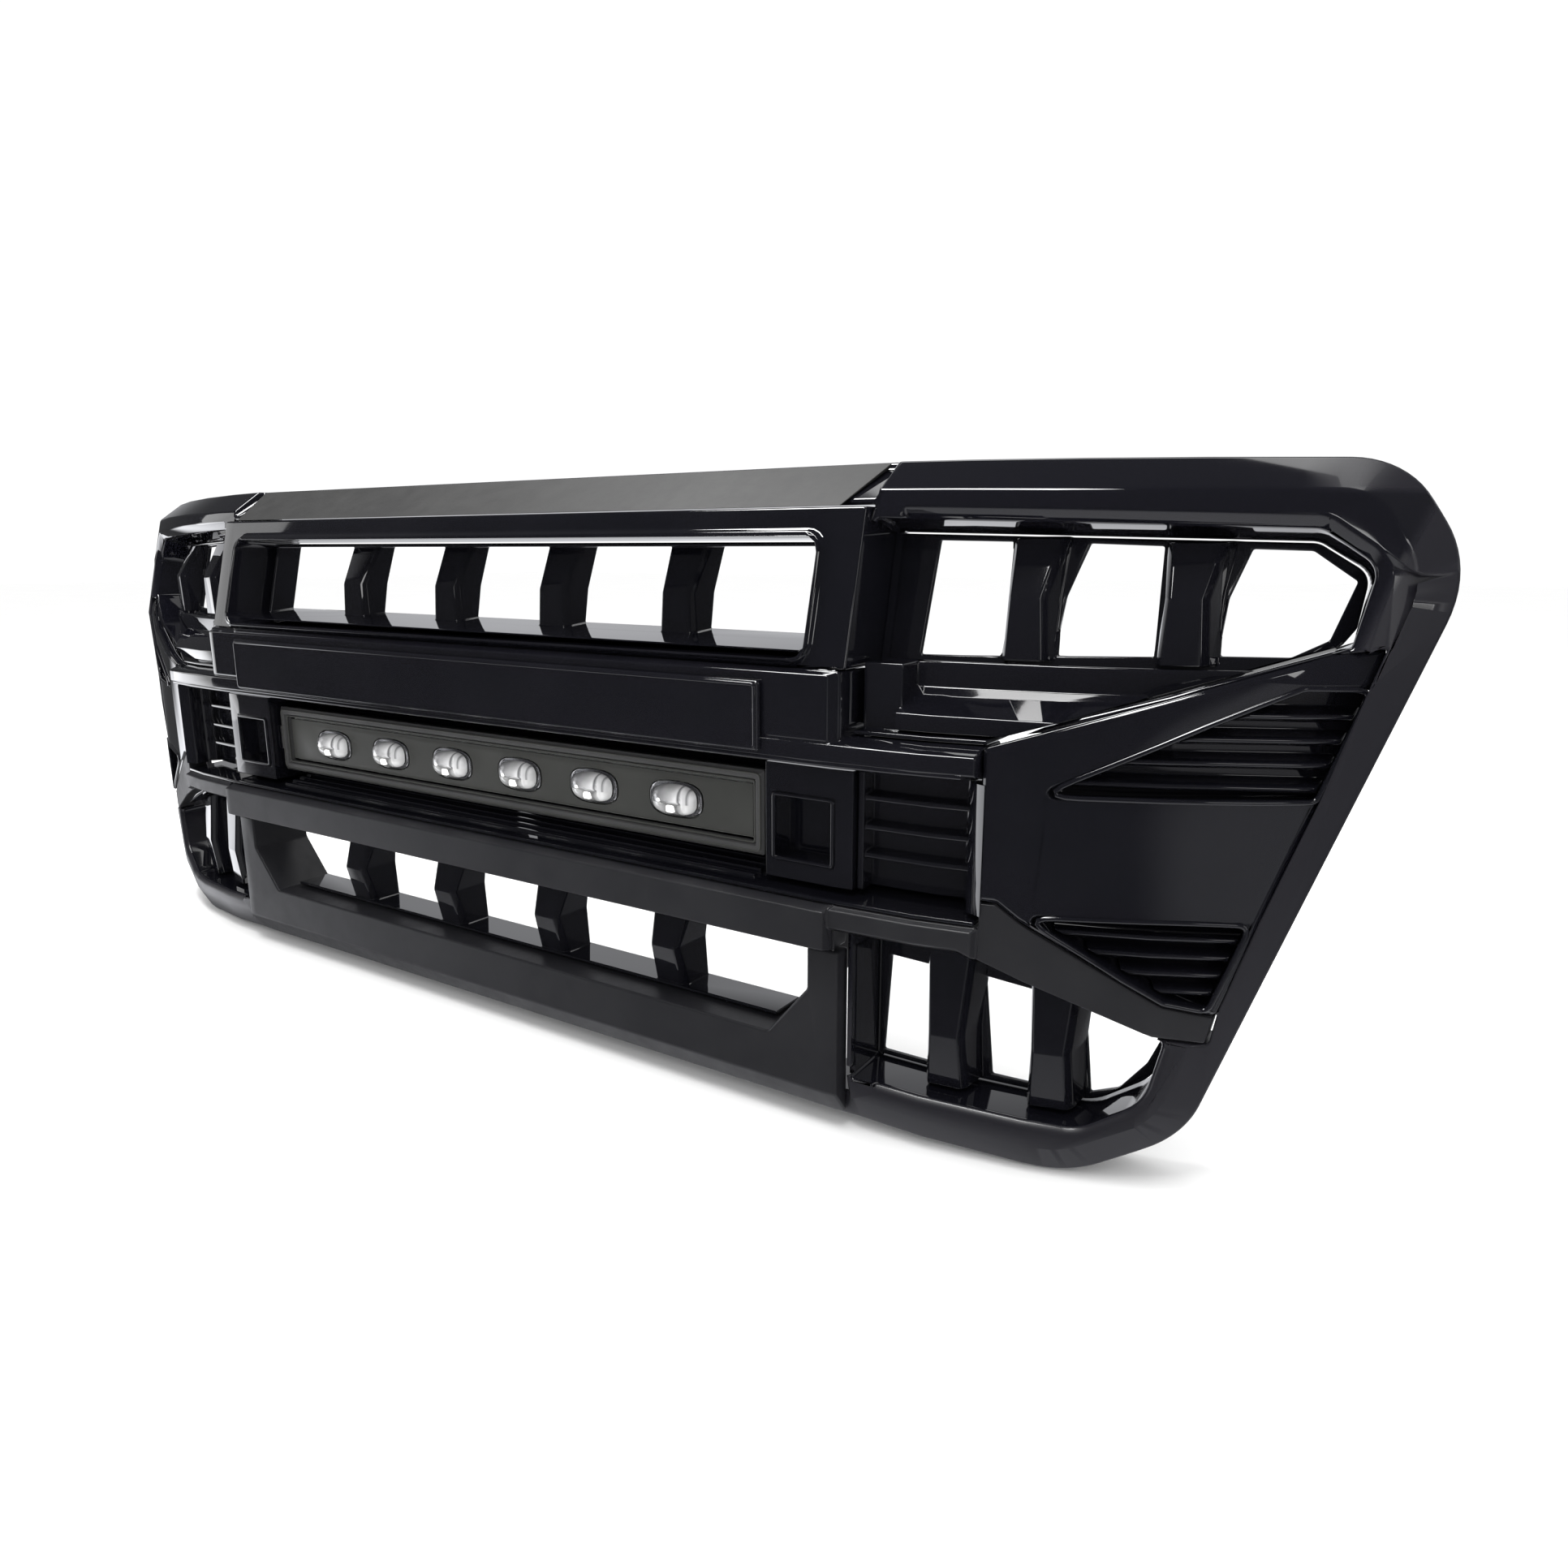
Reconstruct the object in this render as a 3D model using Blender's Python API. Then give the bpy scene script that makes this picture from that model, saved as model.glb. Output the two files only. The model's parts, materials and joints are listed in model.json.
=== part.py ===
"""Front grille of a full-size pickup truck, with an LED light bar that tilts in its own recess.

Every piece is drawn in a flat frame (X across, Z up, Y into the vehicle, in millimetres) and then bent by
one shared function: the ends sweep back and the part above the centre bar leans back.
"""
import math

import bmesh
import bpy
from mathutils import Matrix, Vector

MM = 0.001
GAP = 0.35  # clearance between neighbouring pieces

# Sweep of the ends and rake of the upper half.
SWEEP_START = 300.0
SWEEP_FACTOR = 0.00094
SWEEP_STEP = 60.0
SWEEP_STEPS = 6
WING_START = 395.0
WING_SLANT = 0.09
RAKE_START = 95.0
RAKE = 0.25

# Depths in the flat frame.
REAR = 45.0
RIM_FRONT = 0.0
BEZEL_FRONT = -8.0
BAR_FRONT = -16.0
PANEL_FRONT = -21.0
LOW_BAR_FRONT = -18.0
LOW_PANEL_FRONT = -6.0
WALL = 3.5

# Outline of the right half, bottom centre to top centre, and its corner radii.
OUTLINE = ((0, -186, 0), (320, -187, 0), (446, -193, 60), (503, -160, 50), (603, 150, 60), (568, 205, 45),
           (320, 209, 0), (0, 209, 0))
CREASE = 17.0
CHAMFER_START = 332.0  # where the side windows' chamfers begin

# Windows.
BEZEL_HALF = 314.0
BEZEL_Z = (93.4, 183.0)
OPEN_HALF = 288.0
OPEN_Z = (99.0, 167.0)
SLAT_X = (-167.0, -55.5, 55.5, 167.0)
BAR_HALF = 308.0
BAR_Z = (54.0, 93.0)
PANEL_HALF = 265.0
PANEL_Z = (43.5, 87.0)
RECESS_HALF = 394.0
RECESS_Z = (-44.0, 39.0)
TRAY_REAR = 44.0  # the floor of the light recess
TRAY_WALL = 3.0
ORIGIN_Y = TRAY_REAR + TRAY_WALL  # the tray's rear face is the origin's plane
LOW_BAR_Z = (-73.0, -44.0)
LOW_HALF = 312.0
LOW_OPEN_FLOOR = -136.0

# Light bar.
LIGHT_HALF = 250.0
LIGHT_Z = 27.0
LIGHT_FRONT = 6.0
LIGHT_DEPTH = 24.0
PIVOT_Y = 19.0
GLAND_Z = -15.0
LED_PITCH = 72.0
LED_COUNT = 6
SQUARENESS = 0.7  # 1 is a true oval; less is squarer


# ---------------------------------------------------------------- materials

def plastic(name, grey, roughness, coat=0.0, metallic=0.0, alpha=1.0):
    material = bpy.data.materials.new(name)
    material.use_nodes = True
    shader = material.node_tree.nodes["Principled BSDF"]
    shader.inputs["Base Color"].default_value = (grey, grey, grey * 1.03, 1.0)
    shader.inputs["Roughness"].default_value = roughness
    shader.inputs["Coat Weight"].default_value = coat
    shader.inputs["Metallic"].default_value = metallic
    shader.inputs["Alpha"].default_value = alpha
    return material


def make_materials():
    return {
        "gloss_black": plastic("gloss_black", 0.004, 0.06, coat=1.0),
        "satin_black": plastic("satin_black", 0.012, 0.38),
        "matte_black": plastic("matte_black", 0.015, 0.6),
        "face_grey": plastic("face_grey", 0.07, 0.4),
        "clear": plastic("clear", 0.8, 0.03, alpha=0.3),
        "silver": plastic("silver", 0.8, 0.12, metallic=1.0),
        "aluminium": plastic("aluminium", 0.09, 0.45, metallic=1.0),
        "zinc": plastic("zinc", 0.5, 0.3, metallic=1.0),
        "rubber": plastic("rubber", 0.02, 0.8),
        "board": plastic("board", 0.5, 0.5),
    }


# ---------------------------------------------------------------- the shared bend

def sweep(x):
    """How far back the front is at x: a parabola, taken as straight runs between its stations."""
    reach = abs(x) - SWEEP_START
    if reach <= 0.0:
        return 0.0
    step = math.floor(reach / SWEEP_STEP)
    low = SWEEP_FACTOR * (step * SWEEP_STEP) ** 2
    high = SWEEP_FACTOR * ((step + 1) * SWEEP_STEP) ** 2
    return low + (high - low) * (reach / SWEEP_STEP - step)


def rake(z):
    return RAKE * max(0.0, z - RAKE_START)


def split(mesh, point, normal):
    geometry = mesh.verts[:] + mesh.edges[:] + mesh.faces[:]
    bmesh.ops.bisect_plane(mesh, geom=geometry, plane_co=point, plane_no=normal, dist=1e-7)


def bend(mesh):
    """Cuts the faces at every station, so that each one stays flat, and moves the points back."""
    reach = max(abs(v.co.x) for v in mesh.verts) / MM
    for step in range(SWEEP_STEPS):
        station = SWEEP_START + step * SWEEP_STEP
        if station < reach:
            for side in (-1, 1):
                split(mesh, (side * station * MM, 0, 0), (1, 0, 0))
    if max(v.co.z for v in mesh.verts) > RAKE_START * MM:
        split(mesh, (0, 0, RAKE_START * MM), (0, 0, 1))
    for v in mesh.verts:
        v.co.y += (sweep(v.co.x / MM) + rake(v.co.z / MM)) * MM


# ---------------------------------------------------------------- outlines

def fillet(points, segments=5):
    """A closed outline of (x, z, radius) corners with its corners rounded."""
    out = []
    count = len(points)
    for i, (x, z, radius) in enumerate(points):
        if not radius:
            out.append((x, z))
            continue
        corner = Vector((x, z))
        before = Vector(points[i - 1][:2]) - corner
        after = Vector(points[(i + 1) % count][:2]) - corner
        half = before.angle(after) / 2
        run = min(radius / math.tan(half), before.length * 0.48, after.length * 0.48)
        radius = run * math.tan(half)
        middle = corner + (before.normalized() + after.normalized()).normalized() * radius / math.sin(half)
        start = corner + before.normalized() * run - middle
        turn = start.angle_signed(corner + after.normalized() * run - middle)
        for k in range(segments + 1):
            angle = -turn * k / segments
            c, s = math.cos(angle), math.sin(angle)
            out.append((middle.x + start.x * c - start.y * s, middle.y + start.x * s + start.y * c))
    return out


def mirrored(points):
    """A whole outline from its right half, which starts and ends on the centre line."""
    left = [(-p[0],) + tuple(p[1:]) for p in reversed(points) if p[0] > 1e-6]
    return list(points) + left


def area(points):
    return sum(a[0] * b[1] - b[0] * a[1] for a, b in zip(points, points[1:] + points[:1])) / 2


def inset(points, distance):
    """The outline moved inwards by distance, or outwards where it is negative."""
    sign = 1.0 if area(points) > 0 else -1.0
    out = []
    count = len(points)
    for i in range(count):
        a, b, c = Vector(points[i - 1]), Vector(points[i]), Vector(points[(i + 1) % count])
        n1 = (b - a).normalized().orthogonal() * sign
        n2 = (c - b).normalized().orthogonal() * sign
        move = (n1 + n2) / max(0.3, 1.0 + n1.dot(n2))
        out.append(tuple(b + move * distance))
    return out


def rect(x0, x1, z0, z1):
    return [(x0, z0), (x1, z0), (x1, z1), (x0, z1)]


def flip(points):
    return [(-x, z) for x, z in reversed(points)]


# ---------------------------------------------------------------- solids in the flat frame

def new_object(name, mesh):
    bmesh.ops.recalc_face_normals(mesh, faces=mesh.faces[:])
    data = bpy.data.meshes.new(name)
    mesh.to_mesh(data)
    mesh.free()
    thing = bpy.data.objects.new(name, data)
    bpy.context.scene.collection.objects.link(thing)
    return thing


def loft(rings):
    """A closed solid through rings of (x, y, z) points with the same count, capped at both ends."""
    mesh = bmesh.new()
    rows = [[mesh.verts.new(Vector(p) * MM) for p in ring] for ring in rings]
    count = len(rows[0])
    for low, high in zip(rows, rows[1:]):
        for i in range(count):
            j = (i + 1) % count
            mesh.faces.new((low[i], low[j], high[j], high[i]))
    mesh.faces.new(rows[0])
    mesh.faces.new(list(reversed(rows[-1])))
    return new_object("solid", mesh)


def prism(points, y0, y1):
    """An outline in X and Z, taken from depth y0 to y1."""
    return loft([[(x, y0, z) for x, z in points], [(x, y1, z) for x, z in points]])


def taper(front, y0, back, y1):
    return loft([[(x, y0, z) for x, z in front], [(x, y1, z) for x, z in back]])


def strip(profile, x0, x1):
    """An outline in Y and Z, taken from x0 to x1."""
    return loft([[(x0, y, z) for y, z in profile], [(x1, y, z) for y, z in profile]])


def box(x0, x1, y0, y1, z0, z1):
    return prism(rect(x0, x1, z0, z1), y0, y1)


def rod(centre, axis, radius, length, sides=20):
    """A round bar from centre along axis, X or Y."""
    rings = []
    for end in (0.0, length):
        ring = []
        for k in range(sides):
            a = 2 * math.pi * k / sides
            u, v = radius * math.cos(a), radius * math.sin(a)
            offset = (end, u, v) if axis == "X" else (u, end, v)
            ring.append(tuple(c + o for c, o in zip(centre, offset)))
        rings.append(ring)
    return loft(rings)


def combine(base, other, operation):
    modifier = base.modifiers.new("cut", "BOOLEAN")
    modifier.object = other
    modifier.operation = operation
    modifier.solver = "EXACT"
    view = bpy.context.evaluated_depsgraph_get()
    view.update()
    data = bpy.data.meshes.new_from_object(base.evaluated_get(view))
    base.modifiers.clear()
    base.data = data
    bpy.data.objects.remove(other)
    return base


def cut(base, *others):
    for other in others:
        combine(base, other, "DIFFERENCE")
    return base


def join(base, *others):
    for other in others:
        combine(base, other, "UNION")
    return base


def keep(base, *others):
    for other in others:
        combine(base, other, "INTERSECT")
    return base


def slant(thing):
    """Turns what lies outside the light recess back towards the rim."""
    mesh = bmesh.new()
    mesh.from_mesh(thing.data)
    for side in (-1, 1):
        split(mesh, (side * WING_START * MM, 0, 0), (1, 0, 0))
    for v in mesh.verts:
        v.co.y += WING_SLANT * max(0.0, abs(v.co.x) - WING_START * MM)
    mesh.to_mesh(thing.data)
    mesh.free()
    return thing


def finish(thing, name, material, bent=True, smooth=False, mirror=False):
    """Cleans, bends and names a solid. mirror also makes its left twin."""
    mesh = bmesh.new()
    mesh.from_mesh(thing.data)
    bpy.data.objects.remove(thing)
    bmesh.ops.remove_doubles(mesh, verts=mesh.verts[:], dist=1e-6)
    bmesh.ops.dissolve_limit(mesh, angle_limit=0.002, verts=mesh.verts[:], edges=mesh.edges[:])
    if bent:
        bend(mesh)
    bmesh.ops.translate(mesh, verts=mesh.verts[:], vec=(0, -ORIGIN_Y * MM, 0))
    sides = [(name, False)]
    if mirror:
        sides = [(name + "_right", False), (name + "_left", True)]
    made = []
    for label, turned in sides:
        copy = mesh.copy()
        if turned:
            for v in copy.verts:
                v.co.x = -v.co.x
            bmesh.ops.reverse_faces(copy, faces=copy.faces[:])
        done = new_object(label, copy)
        done.data.materials.clear()
        done.data.materials.append(material)
        if smooth:
            done.data.shade_smooth()
            done.data.set_sharp_from_angle(angle=math.radians(40))
        made.append(done)
    mesh.free()
    return made


# ---------------------------------------------------------------- outlines of the windows (right half)

UPPER_SIDE = ((315.5, 57.5, 0), (395, 57.5, 0), (548, 109, 4), (556, 112, 3), (563, 151, 12),
              (537, 169.5, 12), (315.5, 176.5, 3))
UPPER_SIDE_REAR = ((315.5, 57.5, 0), (395, 57.5, 0), (548, 109, 4), (555, 112, 3), (558.5, 147, 12),
                   (533, 163.5, 12), (315.5, 169.5, 3))
WING = ((395, 56), (548, 107.5), (571, 111.5), (550, 35), (529, -31), (513, -84), (489, -79.5),
        (416, -37), (404, -28), (395, -28))
UPPER_VENT = ((422, 32.5, 2), (548, 35, 2), (566, 91, 2), (538, 91, 2))
LOWER_VENT = ((419, -35, 2), (489, -77, 3), (509, -81, 3), (525, -33, 3))
LOW_ARM = ((0, -73), (309, -73), (309, -59), (385, -59), (485, -99), (510, -101), (513, -85.5),
           (489, -81), (416, -38.5), (404, -29.5), (395, -29.5), (395, -44), (0, -44))
LOWER_SIDE = ((316, -61, 3), (385, -61, 4), (490, -102, 6), (482, -140, 26), (450, -161, 26), (316, -157, 3))


def rounded(corners):
    return fillet([c if len(c) == 3 else (c[0], c[1], 0) for c in corners])


# ---------------------------------------------------------------- the surround and the centre

def outer_surround(materials):
    """The outer ring: its outer band leans back from a crease, and its windows run through."""
    outline = fillet(mirrored(OUTLINE), segments=10)
    crease = inset(outline, CREASE)
    edge = []
    for x, z in outline:
        lean = 20.0 if z > 150 else 14.0 if z > -100 else 9.0
        edge.append((x, RIM_FRONT + lean, z))
    rear = [(x, REAR, z) for x, z in outline]
    ring = loft([[(x, RIM_FRONT, z) for x, z in crease], edge, rear])
    side = rounded(UPPER_SIDE)
    wing = [(395 - GAP, 57.5)] + inset(list(WING), -GAP)[1:8] + [(404, -29), (395 - GAP, -29)]
    middle = rect(-BEZEL_HALF - 1.5, BEZEL_HALF + 1.5, -169, 184)
    low = rounded(LOWER_SIDE)
    arm = [(300, -40), (395, -28), (404, -27.5), (416, -36.5), (489, -79), (514.2, -83.5), (511.2, -102.2),
           (484.7, -100.2), (384.8, -60.2), (300, -60.2)]
    recess = rect(300, RECESS_HALF + 1.2, -60, 58)
    for shape in (wing, low, arm, recess):
        cut(ring, prism(shape, -30, 60), prism(flip(shape), -30, 60))
    narrow = rounded(UPPER_SIDE_REAR)
    for front, back in ((side, narrow), (flip(side), flip(narrow))):
        rings = ((front, -30), (front, 7), (back, 38), (back, 60))
        cut(ring, loft([[(x, y, z) for x, z in ring_points] for ring_points, y in rings]))
    for shape, chamfer in ((side, 7.0), (low, 4.0)):
        for sign, turned in ((1, shape), (-1, flip(shape))):
            flare = taper(inset(turned, -chamfer - 2), -2, turned, chamfer)
            inner, outer = sorted((sign * 290, sign * CHAMFER_START))
            cut(flare, box(inner, outer, -10, 20, -180, 200))
            cut(ring, flare)
    cut(ring, prism(middle, -30, 60))
    cut(ring, box(-LOW_HALF - 4, LOW_HALF + 4, -30, 6, -200, -150))
    cut(ring, strip([(-40, 183.4), (-5.5, 183.4), (25, 204.8), (26, 212), (-40, 212)], -316, 316))
    hollow = prism(inset(outline, WALL), 26, 50)
    for shape in (inset(side, -WALL), flip(inset(side, -WALL)), inset(low, -WALL), flip(inset(low, -WALL)),
                  rect(-BEZEL_HALF - 5, BEZEL_HALF + 5, -173, 187)):
        cut(hollow, prism(shape, 10, 60))
    cut(ring, hollow)
    finish(ring, "outer_surround", materials["gloss_black"])


def top_center_band(materials):
    """The satin band over the middle, between two slanting seams."""
    band = strip([(-7.5, 183.6), (23.5, 208.5), (24.5, 205.2), (-6, 183.6)], -330, 330)
    ends = mirrored([(0, 170), (297, 170), (297, 183.6), (311, 209), (311, 215), (0, 215)])
    finish(keep(band, prism(ends, -40, 60)), "top_center_band", materials["satin_black"])


def center_bezel(materials):
    """The thick frame of the upper centre opening, with a raised lip and walls that run to the rear."""
    outer = rect(-BEZEL_HALF, BEZEL_HALF, *BEZEL_Z)
    opening = rounded([(x, z, 9) for x, z in rect(-OPEN_HALF, OPEN_HALF, *OPEN_Z)])
    frame = prism(outer, BEZEL_FRONT, REAR)
    join(frame, taper(inset(opening, -2), BEZEL_FRONT - 4, inset(opening, -5), BEZEL_FRONT + 1))
    for side in (-1, 1):
        x0, x1 = sorted((side * 280, side * 312))
        pocket = box(x0, x1, BEZEL_FRONT + 4, 60, OPEN_Z[0] + 4, OPEN_Z[1] - 4)
        cut(pocket, prism(inset(opening, -WALL), -30, 70))
        cut(frame, pocket)
    cut(frame, taper(inset(opening, -1.0), BEZEL_FRONT - 10, inset(opening, 3), 62))
    finish(frame, "center_bezel", materials["gloss_black"])


def slat(x, z0, z1, kink, y_kink, y_end, rear, half_front=10.0, half_rear=15.0):
    """An upright blade whose front edge stands forward at mid height, wider at its foot and head."""
    rings = []
    for z, y, flare in ((z0, y_end, 2.0), (kink, y_kink, 0.0), (z1, y_end + 2, 4.0)):
        w, r = half_front + flare, half_rear + flare
        rings.append([(x - w, y, z), (x + w, y, z), (x + w + 3, y + 5, z), (x + r, rear, z),
                      (x - r, rear, z), (x - w - 3, y + 5, z)])
    return loft(rings)


def upper_center_slats(materials):
    """Four blades between a head rail and a foot rail, pushed into the opening from behind."""
    z0, z1 = OPEN_Z[0] + 4.2, OPEN_Z[1] - 3.2
    half = OPEN_HALF - 7
    insert = box(-half, half, 20, REAR - 1, z1 - 2.5, z1)
    foot = [(-4, z0 - 1.4), (-4, z0 - 0.4), (REAR - 1, 108.5), (REAR - 1, z0 - 1.4)]
    join(insert, strip(foot, -half, half))
    for x in SLAT_X:
        join(insert, slat(x, z0 - 1.0, z1 - 0.5, 132, 19, 26, 43))
    for side in (-1, 1):
        x0, x1 = sorted((side * half, side * (half - 3)))
        join(insert, box(x0, x1, 22, REAR - 1, z0, z1))
    finish(insert, "upper_center_slats", materials["gloss_black"])


def center_bar(materials):
    """The bar under the upper opening, and the brow over the light recess that it carries."""
    bar = taper(rect(-BAR_HALF + 1, BAR_HALF - 1, BAR_Z[0], BAR_Z[1] - 2), BAR_FRONT,
                rect(-BAR_HALF - 5, BAR_HALF + 5, BAR_Z[0] - 6, BAR_Z[1]), BAR_FRONT + 7)
    join(bar, box(-BAR_HALF - 5, BAR_HALF + 5, BAR_FRONT + 6, 20, BAR_Z[0] - 6, BAR_Z[1]))
    brow = [(-11, 39.5), (BAR_FRONT - 1, 42), (BAR_FRONT - 1, 52), (-6, 56.5), (20, 56.5), (20, 39.5)]
    join(bar, strip(brow, -RECESS_HALF + 0.6, RECESS_HALF - 0.6))
    for side in (-1, 1):
        for x in (95, 285):
            x0, x1 = sorted((side * (x - 75), side * (x + 18)))
            cut(bar, box(x0, x1, -8, 40, 60, 88))
    finish(bar, "center_bar", materials["gloss_black"])


def name_panel(materials):
    """A blank gloss plate on the bar."""
    outer = rounded([(x, z, 3) for x, z in rect(-PANEL_HALF, PANEL_HALF, *PANEL_Z)])
    plate = taper(inset(outer, 2.5), PANEL_FRONT, outer, BAR_FRONT - 1 - GAP)
    finish(plate, "name_panel", materials["gloss_black"])


def light_tray(materials):
    """The back of the light recess, fluted under the light bar."""
    top, foot = RECESS_Z[1] - 0.5, RECESS_Z[0] + 0.5
    half = RECESS_HALF - 1
    tray = box(-half, half, TRAY_REAR, TRAY_REAR + TRAY_WALL, foot, top)
    join(tray, box(-half, half, 21, TRAY_REAR + 1, top - 3, top))
    floor = [(-10, foot), (-10, foot + 2.5), (TRAY_REAR + 1, foot + 5), (TRAY_REAR + 1, foot)]
    join(tray, strip(floor, -half, half))
    for i in range(4):
        y = 2.0 + i * 7.0
        crest = foot + 5 + i * 1.6
        join(tray, strip([(y, foot + 1), (y, crest), (y + 4, crest), (y + 4, foot + 1)], -246, 246))
    cut(tray, rod((0, TRAY_REAR - 2, GLAND_Z), "Y", 11, 10))
    finish(tray, "light_tray", materials["gloss_black"])


def pocket_block(materials):
    """The block beside the light bar, with a square pocket in its face."""
    top, foot = RECESS_Z[1] - 4, RECESS_Z[0] + 7.5
    block = box(256, 316, 0, 40, foot, top)
    pocket = rect(262, 303, -24, 16)
    cut(block, taper(inset(pocket, -1.5), -1, inset(pocket, 1.5), 16))
    cut(block, box(260, 312, 22, 45, foot + 4, top - 4))
    finish(block, "pocket_block", materials["gloss_black"], mirror=True)


def rib_pad(materials):
    """The pad outside the pocket, with flat ribs across it."""
    top, foot = RECESS_Z[1] - 4, RECESS_Z[0] + 7.5
    pad = box(317, 391, 16, 20, foot, top)
    for z in (19, 1.5, -15.5):
        join(pad, strip([(6, z - 1.5), (6, z + 1.5), (17, z + 3), (17, z - 3)], 320, 384))
    join(pad, box(317, 321, 4, 17, foot, top))
    wedge = ((380.5, 17), (391, 17), (391, 2), (389, 2))
    join(pad, loft([[(x, y, z) for x, y in wedge] for z in (foot, top)]))
    finish(pad, "rib_pad", materials["gloss_black"], mirror=True)


def wing(materials):
    """The gloss panel between the light recess and the rim, with two vent windows."""
    shape = inset(list(WING), 0.2)
    panel = prism(shape, -8, -1)
    join(panel, taper(inset(shape, 1.2), -10, shape, -7.9))
    for corners in (UPPER_VENT, LOWER_VENT):
        opening = rounded(corners)
        skirt = prism(inset(opening, -1.5), -3, 7)
        join(panel, keep(skirt, prism(inset(list(WING), 0.6), -20, 60)))
        cut(panel, taper(inset(opening, -1.5), -16, inset(opening, 1.0), 20))
    wall = [(395.2, -28), (398.5, -28), (398.5, 55), (395.2, 55)]
    join(panel, prism(wall, -6, 38))
    finish(slant(panel), "wing", materials["gloss_black"], mirror=True)


def vents(materials):
    """Louvred inserts behind the wing's windows: level blades in front of a backing sheet."""
    kinds = (("upper_vent", UPPER_VENT, 77.5, 12.5), ("lower_vent", LOWER_VENT, -43.0, 10.0))
    for name, corners, first, pitch in kinds:
        shape = inset(rounded(corners), 1.2)
        sheet = prism(inset(list(corner[:2] for corner in corners), -2.5), 8, 11)
        keep(sheet, prism(inset(list(WING), 0.8), 0, 60))
        for i in range(4):
            z = first - i * pitch
            blade = strip([(-5, z - 1.5), (-5, z + 1.0), (9, z + 4), (9, z - 4)], 400, 590)
            join(sheet, keep(blade, prism(shape, -40, 60)))
        finish(slant(sheet), name, materials["gloss_black"], mirror=True)


def lower_bar(materials):
    """The satin bar under the recess, whose ends run down as arms to the rim."""
    whole = mirrored([(x, z) for x, z in LOW_ARM])
    bar = prism(inset(whole, 0.3), LOW_BAR_FRONT + 9, 8)
    core = rect(-309, 309, LOW_BAR_Z[0] + 0.3, LOW_BAR_Z[1] - 0.3)
    join(bar, taper(inset(core, 2.5), LOW_BAR_FRONT, core, LOW_BAR_FRONT + 9.01))
    sides = [(309, -58.5), (385, -58.5), (394.7, -62.5), (394.7, -44.5), (300, -44.5), (300, -58.5)]
    for shape in (sides, flip(sides)):
        join(bar, taper(inset(shape, 1.5), LOW_BAR_FRONT + 4, shape, LOW_BAR_FRONT + 9.01))
    cut(bar, box(-300, 300, -6, 20, -69, -48))
    finish(slant(bar), "lower_bar", materials["satin_black"])


def lower_center_panel(materials):
    """The satin apron under the lower bar, open at the top, with its opening's walls."""
    half, floor = 288.0, LOW_OPEN_FLOOR
    outer = mirrored([(0, -184), (LOW_HALF, -184), (LOW_HALF, -74), (0, -74)])
    opening = mirrored([(0, floor), (260, floor), (half, -102), (half, -60), (0, -60)])
    front = mirrored([(0, -168), (LOW_HALF - 2, -168), (LOW_HALF - 2, -75), (0, -75)])
    panel = taper(front, LOW_PANEL_FRONT, outer, LOW_PANEL_FRONT + 11)
    walls = mirrored([(0, floor - 4), (262, floor - 4), (half + 4, -104), (half + 4, -76), (0, -76)])
    join(panel, prism(walls, 0, REAR - 1))
    cut(panel, taper(inset(opening, -1.5), LOW_PANEL_FRONT - 6, inset(opening, 1.0), REAR + 5))
    finish(panel, "lower_center_panel", materials["satin_black"])


def lower_center_slats(materials):
    """Four blades on a foot rail and a head rail."""
    floor = LOW_OPEN_FLOOR
    insert = box(-256, 256, 12, REAR - 4, floor + 0.8, floor + 3.3)
    join(insert, box(-284, 284, 12, REAR - 4, -80, -77))
    for x in SLAT_X:
        blade = slat(x, floor + 1.5, -78, -104, 5.5, 14, REAR - 6, half_front=9, half_rear=13)
        join(insert, blade)
    finish(insert, "lower_center_slats", materials["gloss_black"])


def side_slats(materials):
    """The upper side insert: a rear plate with three windows, and two blades in front of it."""
    plate = prism([(318, 86), (500, 90), (545, 104), (575, 150), (560, 172), (318, 178)], 38, 42)
    keep(plate, prism(inset(rounded(UPPER_SIDE_REAR), 0.8), 0, 60))
    windows = [[(337, 100), (386, 101), (385, 163.5), (340, 164.5)],
               [(412, 102), (463, 103), (461, 161), (424, 162.5), (415, 134)],
               [(493, 104), (527, 104), (543.5, 113), (552.5, 143), (531, 158.5), (503, 159.5), (495, 134)]]
    for window in windows:
        cut(plate, prism(window, 30, 60))
    for x, y, head in ((399, 20, 165.5), (479, 16, 163.0)):
        join(plate, slat(x, 99.5, head, 134, y, y + 9, 41.5, half_front=7.5, half_rear=14))
    finish(plate, "upper_side_slats", materials["gloss_black"], mirror=True)


def side_shelf(materials):
    """The boxed recess under the upper side opening."""
    shelf = prism([(318, 59), (396, 59), (513, 98), (318, 98)], 26, 29)
    ledge = strip([(1, 61), (1, 70.5), (27, 84), (27, 61)], 340, 470)
    keep(ledge, prism([(317, 60), (396.6, 60), (508, 97), (317, 97)], -20, 60))
    join(shelf, ledge)
    join(shelf, box(318.5, 342, 6, 27, 59.5, 97.5))
    join(shelf, box(317.5, 394.3, -4, 27, 57.2, 59.8))
    finish(shelf, "side_shelf", materials["gloss_black"], mirror=True)


def lower_side_slats(materials):
    """The lower side insert, whose blades are broader at the foot."""
    shape = inset(rounded(LOWER_SIDE), 1.0)
    plate = prism(shape, 38, 42)
    for window in ([(320, -153), (350, -154), (359, -90), (324, -88)],
                   [(390, -154), (412, -155), (420, -96), (384, -91)],
                   [(447, -155), (462, -150), (476, -132), (484, -112), (441, -102)]):
        cut(plate, prism(window, 30, 60))
    for x in (370, 430):
        blade = slat(x, -158, -62, -122, 12, 16, 41.5, half_front=8.0, half_rear=13)
        keep(blade, prism(inset(shape, 1.5), 0, 60))
        join(plate, blade)
    finish(plate, "lower_side_slats", materials["gloss_black"], mirror=True)


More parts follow.
